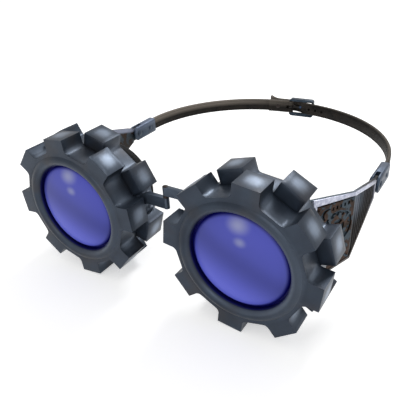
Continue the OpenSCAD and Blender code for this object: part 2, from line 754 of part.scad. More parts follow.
// One arm of the bridge, between the pin and the left cup, from z0 to z1
module bridge_arm(left, z0, z1) {
    clear = [-run_gap, -run_gap] * 1.4;
    high = z1 > flank_tip[1];
    top_side = high ? [[flank_tip[0] + clear[0] * 2, z1], flank_tip + clear] : [[floor_at[0] - foot_t * 3, z1]];
    low_side = high ? [[floor_at[0] - foot_t * 3, z0 - tooth_w * 0.3], [floor_at[0] - foot_t * 5, z0]]
        : [[floor_at[0] - foot_t * 3, z0]];
    color(steel) side(left) difference() {
        union() {
            translate([0, arm_y + arm_t / 2, 0]) rotate([90, 0, 0]) linear_extrude(arm_t) polygon(concat(
                [[0, z0], [0, z1]], top_side,
                [floor_at + [foot_t * 0.2, tooth_w * 0.36], floor_at + [foot_t * 0.2, -tooth_w * 0.1]],
                low_side
            ));
            translate([0, arm_y, z0]) cylinder(r = knuckle_r, h = z1 - z0);
            bridge_foot();
        }
        translate([0, arm_y, z0 - over]) cylinder(r = bridge_pin_r + press_gap, h = z1 - z0 + 2 * over);
        on_cup() rotate(180 + tooth_turn) translate([0, -tip_r, rear_y - over])
            cube([floor_d + press_gap, 2 * tip_r, gear_t + 2 * over]);
        foot_screw_places() translate([0, 0, -2 * foot_t]) cylinder(r = foot_screw_r + press_gap, h = 4 * foot_t);
    }
}

module bridge_pin() {
    z0 = arm_low_z - soft_gap;
    z1 = arm_high_z + arm_high_h + soft_gap;
    color(dark_steel) placed() translate([0, arm_y, 0]) {
        translate([0, 0, z0]) cylinder(r = bridge_pin_r, h = z1 - z0);
        translate([0, 0, z1]) screw(bridge_pin_r, pin_head_h, pin_head_r, pin_head_h);
        translate([0, 0, z0]) mirror([0, 0, 1]) screw(bridge_pin_r, pin_head_h, pin_head_r, pin_head_h);
        translate([0, 0, arm_low_z + arm_low_h + soft_gap]) cylinder(
            r = knuckle_r, h = arm_high_z - arm_low_z - arm_low_h - 2 * soft_gap
        );
    }
}

module bridge_screws() {
    color(dark_steel) for (left = [true, false]) side(left) foot_screw_places()
        screw(foot_screw_r, foot_screw_l, foot_head_r, foot_head_h);
}

front_gear(true);  // front_gear_left
front_gear(false);  // front_gear_right
rear_gear(true);  // rear_gear_left
rear_gear(false);  // rear_gear_right
eye_barrel(true);  // eye_barrel_left
eye_barrel(false);  // eye_barrel_right
lens(true);  // lens_left
lens(false);  // lens_right
lens_gasket(true);  // lens_gasket_left
lens_gasket(false);  // lens_gasket_right
eye_cushion(true);  // eye_cushion_left
eye_cushion(false);  // eye_cushion_right
temple_plate(true);  // temple_plate_left
temple_plate(false);  // temple_plate_right
temple_trim(true);  // temple_trim_left
temple_trim(false);  // temple_trim_right
temple_fret(true);  // temple_fret_left
temple_fret(false);  // temple_fret_right
fret_rivets(true);  // fret_rivets_left
fret_rivets(false);  // fret_rivets_right
plate_screws(true);  // plate_screws_left
plate_screws(false);  // plate_screws_right
pivot_rivet(true);  // pivot_rivet_left
pivot_rivet(false);  // pivot_rivet_right
ferrule(true);  // ferrule_left
ferrule(false);  // ferrule_right
ferrule_rivet(true);  // ferrule_rivet_left
ferrule_rivet(false);  // ferrule_rivet_right
strap_left();
strap_right();
strap_rivet();
buckle_frame();
buckle_tongue();
bridge_arm(true, arm_high_z, arm_high_z + arm_high_h);  // bridge_arm_left
bridge_arm(false, arm_low_z, arm_low_z + arm_low_h);  // bridge_arm_right
bridge_pin();
bridge_screws();
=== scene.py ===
"""Goggles with stacked gear rings, violet lenses, ornamented side plates and a buckled leather strap."""
import math

import bmesh
import bpy
from mathutils import Matrix, Vector


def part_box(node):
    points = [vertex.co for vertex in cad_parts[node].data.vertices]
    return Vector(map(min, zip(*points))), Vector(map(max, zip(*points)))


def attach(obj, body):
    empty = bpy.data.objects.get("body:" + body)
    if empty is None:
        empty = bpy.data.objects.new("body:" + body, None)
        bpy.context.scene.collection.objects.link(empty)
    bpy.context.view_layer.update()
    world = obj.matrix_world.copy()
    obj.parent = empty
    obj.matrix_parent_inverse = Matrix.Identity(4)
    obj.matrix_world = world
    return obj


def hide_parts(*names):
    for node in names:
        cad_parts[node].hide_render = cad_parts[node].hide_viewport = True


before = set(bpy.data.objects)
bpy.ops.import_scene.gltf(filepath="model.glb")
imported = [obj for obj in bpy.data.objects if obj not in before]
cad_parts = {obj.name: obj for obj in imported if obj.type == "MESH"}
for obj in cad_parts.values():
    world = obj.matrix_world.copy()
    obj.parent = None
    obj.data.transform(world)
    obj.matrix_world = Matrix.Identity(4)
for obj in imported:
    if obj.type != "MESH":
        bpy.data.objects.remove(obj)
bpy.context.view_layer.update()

# Sizes in millimetres, from the lens centres: x to the wearer's left, y back towards the buckle, z up
MM = 0.001
CUP_X = 39.5
REST_H = 31.973

# Gear rings
TIP_R = 32.0
ROOT_R = 26.4
TOOTH_W = 10.3
TOOTH_TURN = 6.9
TEETH = 8
PITCH = 360 / TEETH
GEAR_T = 10.4
REAR_Y = 10.7
BACK_Y = 21.1
ROLL_R = 2.6
ROLL_RISE = 0.8
FRONT_BORE_R = 23.08
REAR_BORE_R = 23.06
FACE_R = 25.2
CROWN = 0.38
RING_EDGE = 0.15
FRONT_FILLET = 2.0
REAR_FILLET = 0.9
TIP_FLAT = math.sqrt(TIP_R ** 2 - TOOTH_W ** 2 / 4)
ROOT_HALF = math.degrees(math.asin(TOOTH_W / 2 / ROOT_R))
FLOOR_D = ROOT_R * math.cos(math.radians(PITCH / 2 - ROOT_HALF))

# Lenses
LIP_R = 20.0
LIP_Y = 2.58
LENS_Y = 2.88
LENS_R = 21.3
LENS_T = 2.0
LENS_DOME = 3.4
LENS_BACK_R = 18.9
HOLLOW_R = 18.5

# Eye cushions
NECK_R = 14.21
NECK_OUT = 15.71
NECK_Y = 26.1
PAD_HALF_W = 2.2
PAD_HALF_D = 4.4
PAD_SIDES = 28
GATHERS = 30

# Side plates
BEND_Y = 42.3
BEND_H = 30.0
REAR_END_Y = 72.7
SHEET_EDGE = 0.14
FERRULE_EDGE = 0.3

# Strap
STRAP_Z = 2.1
STRAP_W = 6.8
STRAP_T = 1.8
LAP_THINNER = 0.9
LAP_FROM = 0.834
NO_LAP = 1.0
LAP_OVER = 0.018
POCKET_Y = 81.6
MOUTH_Y = 91.0
TEMPLE_X = 66.2
LOOP_D = 61.0
CURL_D = 5.6
CURL_POWER = 2.4
HOLE_R = 0.75
GROOVE_AT = STRAP_W * 0.355

# Buckle
BUCKLE_L = 15.0
BUCKLE_BAR = 1.4
HEEL_X = -6.3
END_X = 7.3
EYE_IN = 0.8
EYE_OUT = 1.7
TAIL_LIFT = EYE_OUT + 0.2 + STRAP_T / 2
HOLES_X = END_X - 1.47, END_X + 2.73, END_X + 6.93
# A slot for the tongue: its turn in degrees, start and end along it, and half its thickness
LONG_SLOT = 18.5, 2.8, 10.4, 1.45
SHORT_SLOT = 0, -2.0, 3.1, 3.4
SLOT_HALF_H = 0.95
HOOP_EDGE = 0.28
TONGUE_EDGE = 0.22

# Bridge
BAR_EDGE = 0.2

# Corners of a round piece, the angle in degrees at which an edge counts as sharp, and where the
# frame's middle lies behind the lens centres
ROUND = 96
SHARP = 40
MID_Y = -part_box("front_gear_left")[0].y / MM - ROLL_RISE


def place(x, y, z):
    """A point in metres in the frame's own axes, from millimetres measured from the lens centres."""
    return Vector((x, y - MID_Y, z + REST_H)) * MM


# Modelling helpers

def select_only(obj):
    """Selects this piece alone and makes it the active one."""
    bpy.ops.object.select_all(action="DESELECT")
    obj.select_set(True)
    bpy.context.view_layer.objects.active = obj


def edit(obj):
    """Opens a piece in edit mode with nothing selected on it."""
    select_only(obj)
    bpy.ops.object.mode_set(mode="EDIT")
    bpy.ops.mesh.select_all(action="DESELECT")


def leave_edit():
    bpy.ops.object.mode_set(mode="OBJECT")


def pick_all(kind):
    """In edit mode, selects every vertex, edge and face, and works in this kind."""
    bpy.ops.mesh.select_mode(type=kind)
    bpy.ops.mesh.select_all(action="SELECT")


def pick(obj, kind, test):
    """In edit mode, selects the vertices, edges or faces that pass the test, and nothing else."""
    bpy.ops.mesh.select_mode(type=kind)
    bpy.ops.mesh.select_all(action="DESELECT")
    mesh = bmesh.from_edit_mesh(obj.data)
    for part in {"VERT": mesh.verts, "EDGE": mesh.edges, "FACE": mesh.faces}[kind]:
        if test(part):
            part.select_set(True)
    mesh.select_flush_mode()
    bmesh.update_edit_mesh(obj.data)


def move_picked(obj, rule):
    """In edit mode, puts each selected vertex where the rule says."""
    mesh = bmesh.from_edit_mesh(obj.data)
    for v in mesh.verts:
        if v.select:
            v.co = rule(v.co.copy())
    bmesh.update_edit_mesh(obj.data)


def settle(name=None):
    """Puts the new piece's place, turn and scale into its mesh, names it and hands it over."""
    piece = bpy.context.object
    if name:
        piece.name = piece.data.name = name
    select_only(piece)
    bpy.ops.object.transform_apply(location=True, rotation=True, scale=True)
    return piece


def new_circle(name, corners, radius, centre):
    """A round wire loop about an axis that runs from front to back."""
    bpy.ops.object.select_all(action="DESELECT")
    bpy.ops.mesh.primitive_circle_add(vertices=corners, radius=radius * MM, fill_type="NOTHING",
                                      location=centre, rotation=(math.pi / 2, 0, 0))
    return settle(name)


def finish_with(obj, kind, **values):
    """Adds a modifier with these values and applies it."""
    select_only(obj)
    change = obj.modifiers.new(kind.title(), kind)
    for name, value in values.items():
        setattr(change, name, value)
    bpy.ops.object.modifier_apply(modifier=change.name)


def smooth(obj, angle=SHARP):
    """Shades a piece smooth, with a crease where two faces meet at more than this angle in degrees."""
    select_only(obj)
    bpy.ops.object.shade_smooth_by_angle(angle=math.radians(angle))


def face_outwards(obj):
    """Welds a closed piece's doubles and turns all its faces outwards."""
    edit(obj)
    bpy.ops.mesh.select_all(action="SELECT")
    bpy.ops.mesh.remove_doubles(threshold=0.004 * MM)
    bpy.ops.mesh.normals_make_consistent(inside=False)
    leave_edit()


def radius_on(centre, point):
    return math.hypot(point.x - centre.x, point.z - centre.z)


def away_from(centre, point):
    """The direction straight out from the lens axis at this point."""
    return Vector((point.x - centre.x, 0, point.z - centre.z)).normalized()


def angle_on(centre, point):
    return math.degrees(math.atan2(point.z - centre.z, point.x - centre.x))


def turned_apart(a, b):
    """The smaller angle between two directions, in degrees."""
    return abs((a - b + 180) % 360 - 180)


def pull_loops(centre, path):
    """From the selected round loop, pulls new loops along a path of (radius, y) about the lens axis."""
    for (r0, y0), (r1, y1) in zip(path, path[1:]):
        bpy.ops.mesh.extrude_edges_move()
        bpy.ops.transform.resize(value=(r1 / r0, 1, r1 / r0), center_override=centre)
        bpy.ops.transform.translate(value=(0, (y1 - y0) * MM, 0))


def mark(obj, name, rule):
    """Stores a value on each vertex of a piece, for its material to read."""
    layer = obj.data.attributes.new(name, "FLOAT", "POINT")
    for v, value in zip(obj.data.vertices, layer.data):
        value.value = rule(v.co)


def fettled(cad_name, name, width):
    """A copy of a plain solid with its outer edges broken, as a fitter files a sharp part.

    Inner corners stay sharp.
    """
    piece = bpy.data.objects.new(name, bpy.data.objects[cad_name].data.copy())
    bpy.context.scene.collection.objects.link(piece)
    edit(piece)
    bpy.ops.mesh.select_all(action="SELECT")
    bpy.ops.mesh.remove_doubles(threshold=0.002 * MM)
    bpy.ops.mesh.dissolve_limited(angle_limit=math.radians(1.5))
    pick(piece, "EDGE", lambda e: len(e.link_faces) == 2 and e.is_convex
         and e.calc_face_angle() > math.radians(SHARP))
    bpy.ops.mesh.bevel(offset=width * MM, segments=2, affect="EDGES", clamp_overlap=True)
    leave_edit()
    smooth(piece)
    return piece


# Gear rings

def tooth_angles(side, first_turn):
    """Where the teeth point, in degrees. The right cup mirrors the left one."""
    start = -first_turn if side > 0 else 180 + first_turn
    return [start + side * tooth * PITCH for tooth in range(TEETH)]


def gear_ring(name, side, first_turn, y0, path, fillet):
    """One toothed ring. side is 1 for the wearer's left and -1 for the right."""
    centre = place(side * CUP_X, 0, 0)
    middle = place(0, y0 + GEAR_T / 2, 0).y
    teeth_at = tooth_angles(side, first_turn)
    flats_at = teeth_at + [turn + PITCH / 2 for turn in teeth_at]
    slices, steps_out = 6, 4
    bpy.ops.object.select_all(action="DESELECT")
    bpy.ops.mesh.primitive_cylinder_add(
        vertices=2 * TEETH, radius=ROOT_R * MM, depth=GEAR_T * MM, end_fill_type="NOTHING",
        location=place(side * CUP_X, y0 + GEAR_T / 2, 0),
        rotation=(math.pi / 2, math.radians(side * (first_turn - ROOT_HALF)), 0))
    ring = settle(name)
    edit(ring)
    pick(ring, "EDGE", lambda e: abs(e.verts[0].co.y - e.verts[1].co.y) < 0.1 * MM)
    bpy.ops.mesh.subdivide(number_cuts=slices - 1)
    for share in range(1, slices):
        bpy.ops.mesh.select_all(action="SELECT")
        bpy.ops.mesh.bisect(plane_co=place(0, y0 + GEAR_T * share / slices, 0), plane_no=(0, 1, 0))
    for turn in teeth_at:
        out = Vector((math.cos(math.radians(turn)), 0, math.sin(math.radians(turn))))
        across = Vector((-out.z, 0, out.x))

        def under_tooth(face):
            spot = face.calc_center_median()
            return (turned_apart(angle_on(centre, spot), turn) < ROOT_HALF - 0.3
                    and abs((spot - centre).dot(out) - FLOOR_D * MM) < 0.1 * MM)
        pick(ring, "FACE", under_tooth)
        for step in range(steps_out):
            bpy.ops.mesh.extrude_region_move(
                TRANSFORM_OT_translate={"value": out * (TIP_FLAT - FLOOR_D) / steps_out * MM})

        def crown(point):
            sideways = (point - centre).dot(across) / (TOOTH_W / 2 * MM)
            along = (point.y - middle) / (GEAR_T / 2 * MM)
            return point + out * CROWN * MM * max(0, 1 - sideways ** 2) * max(0, 1 - along ** 2)
        move_picked(ring, crown)

    def to_circle(radius):
        def rule(point):
            away = away_from(centre, point) * radius * MM
            return Vector((centre.x + away.x, point.y, centre.z + away.z))
        return rule

    def to_outline(point):
        off = min(turned_apart(angle_on(centre, point), a) for a in flats_at)
        return to_circle(FLOOR_D / math.cos(math.radians(off)))(point)

    front = place(0, y0, 0).y
    pick(ring, "EDGE", lambda e: e.is_boundary and all(abs(v.co.y - front) < 0.01 * MM for v in e.verts))
    bpy.ops.mesh.extrude_edges_move()
    move_picked(ring, to_circle(path[0][0]))
    pull_loops(centre, path)
    bpy.ops.mesh.extrude_edges_move()
    move_picked(ring, to_outline)
    leave_edit()
    face_outwards(ring)
    edit(ring)
    pick(ring, "EDGE", lambda e: abs(e.verts[0].co.x - e.verts[1].co.x) < 0.001 * MM
         and abs(e.verts[0].co.z - e.verts[1].co.z) < 0.001 * MM
         and abs(radius_on(centre, e.verts[0].co) - ROOT_R * MM) < 0.03 * MM)
    bpy.ops.mesh.bevel(offset=fillet * MM, segments=5, affect="EDGES", clamp_overlap=True)
    leave_edit()
    finish_with(ring, "BEVEL", width=RING_EDGE * MM, segments=2, limit_method="ANGLE",
                angle_limit=math.radians(SHARP), use_clamp_overlap=True)
    smooth(ring)

    def gear_painted_light(point):
        """Painted light on the gear, stored for its colour: 1 for a painted highlight, 0 on plain faces,
        below 0 for painted shade beside the lens.
        """
        r = radius_on(centre, point) / MM
        off = min(turned_apart(angle_on(centre, point), a) for a in teeth_at)
        along = (point.y - middle) / (GEAR_T / 2 * MM)
        reach = r * math.cos(math.radians(off))
        sideways = r * math.sin(math.radians(off)) / (TOOTH_W / 2)
        on_face = abs(along) > 0.93
        mid_width, mid_tooth = max(0.0, 1 - along ** 2), max(0.0, 1 - sideways ** 2)
        # Tip of a tooth: a painted highlight in the middle of the crown
        if reach > TIP_FLAT - 0.25:
            return 0.12 + 0.9 * mid_tooth ** 2.5 * mid_width ** 2.5
        # Side of a tooth: a painted highlight low on the side
        if reach > FLOOR_D + 0.6 and r > ROOT_R:
            low_on_side = max(0.0, 1 - (reach - FLOOR_D) / 3.4)
            return 0.12 if on_face else 0.12 + 0.7 * low_on_side * (1 - along ** 2)
        # Valley floor: a painted highlight towards the roots of the teeth
        if r > FLOOR_D - 0.3:
            mid_valley = max(0.0, math.cos(math.radians((off - PITCH / 2) * 6)))
            return 0.1 if on_face else 0.2 + 0.7 * (1 - mid_valley) * mid_width
        # Faces of the rear ring, painted paler against their shade
        if y0 > 0:
            return 0.4
        # Lip beside the lens: painted shade
        if r < LIP_R + 0.3 and point.y / MM + MID_Y < LIP_Y + 0.2:
            return -max(0.0, min(1.0, (LIP_R + 0.3 - r) / 0.25))
        # Front face and roll: painted light, paler towards the wearer's left, with a painted highlight on the
        # roll
        leftwards = max(-1.0, min(1.0, (point.x - centre.x) / (ROOT_R * MM)))
        on_roll = max(0.0, 1 - ((r - 21.0) / 1.2) ** 2)
        return 0.09 + 0.13 * leftwards + 0.17 * on_roll
    mark(ring, "gear_painted_light", gear_painted_light)
    return ring


def roll_path():
    """The front ring's section: flat face, rounded roll, inner lip, bore and back face."""
    centre_r, centre_y = LIP_R + ROLL_R, ROLL_R - ROLL_RISE
    flat_at = math.degrees(math.asin(centre_y / ROLL_R))
    points, steps = [], 14
    for step in range(steps + 1):
        a = math.radians(flat_at + (180 - flat_at) * step / steps)
        points.append((centre_r + ROLL_R * math.cos(a), centre_y - ROLL_R * math.sin(a)))
    return points + [(LIP_R, LIP_Y), (FRONT_BORE_R, LIP_Y), (FRONT_BORE_R, GEAR_T), (FACE_R, GEAR_T)]


REAR_PATH = [(FACE_R, REAR_Y), (REAR_BORE_R, REAR_Y), (REAR_BORE_R, BACK_Y), (FACE_R, BACK_Y)]


def lens_piece(name, side):
    """Domed lens, full towards its edge, with a flat rim and a hollow back."""
    centre, back = place(side * CUP_X, 0, 0), LENS_Y + LENS_T
    lens = new_circle(name, ROUND, LENS_R, place(side * CUP_X, back, 0))
    edge_r, chamfer, middle_r = LIP_R - 0.4, 0.2, 0.01
    shares = (1, 0.997, 0.99, 0.98, 0.965, 0.945, 0.92, 0.89, 0.85,
              0.8, 0.73, 0.65, 0.56, 0.46, 0.35, 0.24, 0.12)
    front = [(edge_r * k, LENS_Y - LENS_DOME * (1 - k ** 3) ** 0.6) for k in shares]
    front.append((middle_r, LENS_Y - LENS_DOME))
    edit(lens)
    pick_all("EDGE")
    pull_loops(centre, [(LENS_R, back), (LENS_R, LENS_Y + chamfer), (LENS_R - chamfer, LENS_Y)] + front)
    back_y = place(0, back, 0).y
    pick(lens, "EDGE", lambda e: all(
        abs(v.co.y - back_y) < 0.01 * MM and abs(radius_on(centre, v.co) - LENS_R * MM) < 0.02 * MM
        for v in e.verts))
    hollow = [(r, y + LENS_T) for r, y in front if r < HOLLOW_R]
    pull_loops(centre, [(LENS_R, back), (LENS_BACK_R, back)] + hollow)
    bpy.ops.mesh.select_all(action="SELECT")
    bpy.ops.mesh.remove_doubles(threshold=0.03 * MM)
    bpy.ops.mesh.normals_make_consistent(inside=False)
    leave_edit()
    smooth(lens)
    return lens


# Eye cushions

def cushion_ring(name, side):
    """Padded leather ring, gathered into puckers along the seam where it meets the neck."""
    centre = place(side * CUP_X, 0, 0)
    mid_r, mid_y = NECK_R + PAD_HALF_W + 0.2, NECK_Y + PAD_HALF_D * 0.47
    first_turn, lean = 70, 0.35
    section = []
    for step in range(PAD_SIDES):
        a = math.radians(step * 360 / PAD_SIDES - first_turn)
        out, deep = PAD_HALF_W * math.cos(a) * 0.92, PAD_HALF_D * math.sin(a) * (0.85 if a > 0 else 0.97)
        r, y = mid_r + out + lean * deep, mid_y + deep
        r = max(r, NECK_OUT + 0.12) if y < NECK_Y + 0.15 else max(r, NECK_R + 0.15)
        section.append((r, y))
    pad = new_circle(name, ROUND, section[0][0], place(side * CUP_X, section[0][1], 0))
    edit(pad)
    pick_all("EDGE")
    pull_loops(centre, section + section[:1])
    leave_edit()
    face_outwards(pad)

    def gathered(point):
        a = math.radians(angle_on(centre, point))
        r = radius_on(centre, point) / MM
        y = point.y / MM + MID_Y
        front = max(0, 1 - abs(y - (mid_y - 2.6)) / 2.4)
        seam = math.exp(-((y - (mid_y + 1.9)) / 0.45) ** 2) if r > mid_r else 0
        pucker = 0.5 + 0.5 * math.cos(a * GATHERS + 0.6 * math.sin(a * 3))
        pull = front * 0.16 * pucker + 0.22 * seam
        return point - away_from(centre, point) * pull * MM * (1 if r > mid_r - 0.5 else 0)
    edit(pad)
    pick_all("VERT")
    move_picked(pad, gathered)
    leave_edit()
    finish_with(pad, "SUBSURF", levels=1, render_levels=1)
    select_only(pad)
    bpy.ops.object.shade_smooth()
    return pad


# Strap and buckle

def loop_y(x):
    """How far back the middle of the strap's loop lies at this x."""
    return MOUTH_Y + LOOP_D * math.sqrt(max(0, 1 - (x / TEMPLE_X) ** 2))


def ease(k):
    """A smooth step that goes from 0 to 1 as k does."""
    k = max(0, min(1, k))
    return k * k * (3 - 2 * k)


def strip(name, line, lap_from):
    """A leather strip along a line of (x, y), with soft edges and a pressed groove beside each edge.

    Past the share lap_from of its length the leather is thinner, for the fold and the lap.
    """
    half = STRAP_W / 2
    edge = [(0.5, 0.0), (0.5, 0.66), (0.43, 0.71), (0.48, 0.76), (0.46, 0.86), (0.34, 0.96), (0.14, 1.0)]
    upper = edge + [(-u, w) for u, w in reversed(edge)]
    rim = upper + [(u, -w) for u, w in reversed(upper[1:-1])]
    points = [Vector(p) for p in line]
    lengths = [0.0]
    for a, b in zip(points, points[1:]):
        lengths.append(lengths[-1] + (b - a).length)

    def section(i):
        ahead = (points[min(i + 1, len(points) - 1)] - points[max(i - 1, 0)]).normalized()
        out = Vector((ahead.y, -ahead.x))
        t = STRAP_T - LAP_THINNER * ease((lengths[i] / lengths[-1] - lap_from) / LAP_OVER)
        return [place(points[i].x + out.x * u * t, points[i].y + out.y * u * t, STRAP_Z + w * half)
                for u, w in rim]
    piece = new_circle(name, len(rim), half, (0, 0, 0))
    edit(piece)
    pick_all("VERT")
    for i in range(len(points)):
        if i:
            bpy.ops.mesh.extrude_edges_move()
        mesh = bmesh.from_edit_mesh(piece.data)
        mesh.verts.ensure_lookup_table()
        if i:
            loop = [next(e.other_vert(mesh.verts[old]) for e in mesh.verts[old].link_edges
                         if e.other_vert(mesh.verts[old]).select) for old in last]
        else:
            loop = list(mesh.verts)
        for v, spot in zip(loop, section(i)):
            v.co = spot
        mesh.verts.index_update()
        last = [v.index for v in loop]
        bmesh.update_edit_mesh(piece.data)
    leave_edit()
    edit(piece)
    pick(piece, "EDGE", lambda e: e.is_boundary)
    bpy.ops.mesh.edge_face_add()
    leave_edit()
    face_outwards(piece)
    return piece


def fuller_bars(hoop):
    """Swells the buckle's two long bars, clear of the strap between them.

    The heel bar stays as it is.
    """
    heel = place(HEEL_X, loop_y(HEEL_X), STRAP_Z)
    end = place(END_X, loop_y(END_X) + STRAP_T / 2 + 0.4 + BUCKLE_BAR / 2, STRAP_Z)
    back = Vector((heel.y - end.y, end.x - heel.x, 0)).normalized()
    heel_bar_r, heel_bar_half = 0.8, 3.9

    def swell(point):
        off = (point.z - heel.z) / MM
        near_heel = math.hypot(point.x - heel.x, point.y - heel.y) < heel_bar_r * MM
        if near_heel and abs(off) < heel_bar_half:
            return point
        share = ease((abs(off) - 3.5) / 0.5)
        outwards = math.copysign(0.25 * ease((abs(off) - 4.2) / 0.9), off) * MM
        deep = (point - heel).dot(back)
        return point + back * deep * (1.5 if deep > 0 else 1.0) * share + Vector((0, 0, outwards))
    edit(hoop)
    pick_all("VERT")
    bpy.ops.mesh.quads_convert_to_tris()
    move_picked(hoop, swell)
    leave_edit()


def ease_edges(ferrule):
    """Takes a hair off the ferrule's top and bottom, which meet the plate at the end of the swing."""
    middle, near_edge, hair = place(0, 0, STRAP_Z).z, 3.7 * MM, 0.06 * MM
    edit(ferrule)
    pick(ferrule, "VERT", lambda v: abs(v.co.z - middle) > near_edge)
    move_picked(ferrule, lambda point: point - Vector((0, 0, math.copysign(hair, point.z - middle))))
    leave_edit()


def mark_inner(plate, side):
    """Marks the plate's face towards the head, for the copper bloom on it."""
    layer = plate.data.attributes.new("inner", "FLOAT", "CORNER")
    for face in plate.data.polygons:
        for corner in face.loop_indices:
            layer.data[corner].value = 1.0 if face.normal.x * side < -0.3 else 0.0


def loop_part(side, last, steps):
    """From the pocket of one ferrule along the loop, until x measures this much on that side."""
    line = [(side * TEMPLE_X, POCKET_Y + 0.2)]
    for step in range(steps + 1):
        a = math.acos(last / TEMPLE_X) * step / steps
        line.append((side * TEMPLE_X * math.cos(a), MOUTH_Y + LOOP_D * math.sin(a)))
    return line


def strap_line_left():
    """From the ferrule's pocket over the buckle's end bar and heel bar, out to the curled tail."""
    line = loop_part(1, END_X - BUCKLE_BAR, 56)
    lift_from, lift_to, lift_steps = END_X - BUCKLE_BAR, HEEL_X + BUCKLE_BAR, 12
    for step in range(1, lift_steps + 1):
        x = lift_from + (lift_to - lift_from) * step / lift_steps
        line.append((x, loop_y(x) + TAIL_LIFT * ease((lift_from - x) / (lift_from - lift_to))))
    tail_l, tail_steps, curl_from = 1.1 * BUCKLE_L, 16, 0.42
    for step in range(1, tail_steps + 1):
        x = lift_to - tail_l * step / tail_steps
        curl = max(0, (step / tail_steps - curl_from) / (1 - curl_from))
        line.append((x, loop_y(x) + TAIL_LIFT + CURL_D * curl ** CURL_POWER))
    return line


def strap_line_right():
    """From the ferrule's pocket round the buckle's heel bar and back along the inside as a lap."""
    heel_y, ring_r = loop_y(HEEL_X), (EYE_IN + EYE_OUT) / 2
    line = loop_part(-1, -HEEL_X + EYE_OUT + 1.2, 52)
    half_turn, fold_steps = 118, 12
    for step in range(fold_steps + 1):
        a = math.radians(half_turn - 2 * half_turn * step / fold_steps)
        line.append((HEEL_X + ring_r * math.cos(a), heel_y + ring_r * math.sin(a)))
    lap_l, lap_steps = 10.6, 6
    for step in range(lap_steps + 1):
        x = HEEL_X - EYE_OUT - 0.5 - lap_l * step / lap_steps
        line.append((x, loop_y(x) - STRAP_T / 2 - 0.5))
    return line


def cut(piece, cutters):
    """Cuts each of these shapes out of a piece."""
    for cutter in cutters:
        finish_with(piece, "BOOLEAN", operation="DIFFERENCE", solver="EXACT", object=cutter)
        bpy.data.objects.remove(cutter, do_unlink=True)


def round_punch(x):
    """A tapered punch through the strap at the back of the loop, widest on the side of the head."""
    bpy.ops.object.select_all(action="DESELECT")
    lean = math.atan2(-LOOP_D * x / TEMPLE_X, math.sqrt(TEMPLE_X ** 2 - x ** 2))
    bpy.ops.mesh.primitive_cone_add(vertices=24, radius1=HOLE_R * 1.22 * MM, radius2=HOLE_R * 0.2 * MM,
                                    depth=STRAP_T / 0.6 * MM, location=place(x, loop_y(x), STRAP_Z),
                                    rotation=(-math.pi / 2, 0, lean))
    return settle()


def slot_punch(turn, start, end, half_t):
    """A square punch for the tongue's slot, from start to end along a line out of the heel bar.

    The line leaves the heel bar at a turn in degrees, and the punch is half_t thick to each side of it.
    """
    bpy.ops.object.select_all(action="DESELECT")
    along = Vector((math.cos(math.radians(turn)), math.sin(math.radians(turn)))) * (start + end) / 2
    bpy.ops.mesh.primitive_cube_add(
        size=1, location=place(HEEL_X + along.x, loop_y(HEEL_X) + along.y, STRAP_Z),
        rotation=(0, 0, math.radians(turn)),
        scale=((end - start) * MM, 2 * half_t * MM, 2 * SLOT_HALF_H * MM))
    return settle()


def measure_along(line):
    """Gives a rule for how far along the line, in millimetres, the nearest point of it lies."""
    points = [Vector(p) for p in line]
    runs, total = [], 0
    for a, b in zip(points, points[1:]):
        runs.append((a, b - a, (b - a).length, total))
        total += (b - a).length

    def rule(point):
        spot = Vector((point.x / MM, point.y / MM + MID_Y))
        nearest = None
        for a, way, length, start in runs:
            share = max(0, min(1, (spot - a).dot(way) / length ** 2))
            off = (spot - a - way * share).length
            if nearest is None or off < nearest[0]:
                nearest = (off, start + share * length)
        return nearest[1]
    return rule


def darken_holes(strap):
    """Gives the walls of the punched holes the strap's second material, a near-black leather that stands in
    as painted shade in the holes.
    """
    strap.data.materials.append(HOLE_SHADE)
    for face in strap.data.polygons:
        for x in HOLES_X:
            off = face.center - place(x, loop_y(x), STRAP_Z)
            in_hole = off.length < HOLE_R * 1.6 * MM and math.hypot(off.x, off.z) < HOLE_R * 0.98 * MM
            if in_hole and face.area < 2 * MM * MM:
                face.material_index = 1


def lay_out(piece, line):
    """Marks how far along and how far across the strap each point lies, for the leather's grain."""
    mark(piece, "along", measure_along(line))
    mark(piece, "across", lambda point: point.z / MM - REST_H - STRAP_Z)


# Materials

def new_material(name):
    """An empty material with one shader on its output."""
    material = bpy.data.materials.new(name)
    material.use_nodes = True
    nodes = material.node_tree.nodes
    nodes.clear()
    out = nodes.new("ShaderNodeOutputMaterial")
    shader = nodes.new("ShaderNodeBsdfPrincipled")
    material.node_tree.links.new(shader.outputs[0], out.inputs[0])
    return material, shader


def node(tree, kind, inputs=None, **settings):
    """Adds a node to a material's or a group's tree, with its settings, values and links."""
    tree = getattr(tree, "node_tree", tree)
    made = tree.nodes.new(kind)
    for name, value in settings.items():
        setattr(made, name, value)
    for key, value in (inputs or {}).items():
        if isinstance(value, bpy.types.NodeSocket):
            tree.links.new(value, made.inputs[key])
        else:
            made.inputs[key].default_value = value
    return made


def link(tree, socket, target):
    getattr(tree, "node_tree", tree).links.new(socket, target)


def plain_set(shader, **values):
    """Sets sockets of a shader that hold one plain value each."""
    for name, value in values.items():
        shader.inputs[name.replace("_", " ")].default_value = value


def rgb(hex_colour):
    """A colour as it is seen, written as six hex digits, in the shader's linear values."""
    parts = [int(hex_colour[i:i + 2], 16) / 255 for i in (0, 2, 4)]
    return tuple(c / 12.92 if c <= 0.04045 else ((c + 0.055) / 1.055) ** 2.4 for c in parts) + (1.0,)


def mixed(tree, factor, a, b):
    """Colour a where the factor is 0 and b where it is 1."""
    return node(tree, "ShaderNodeMix", {0: factor, 6: a, 7: b}, data_type="RGBA").outputs[2]


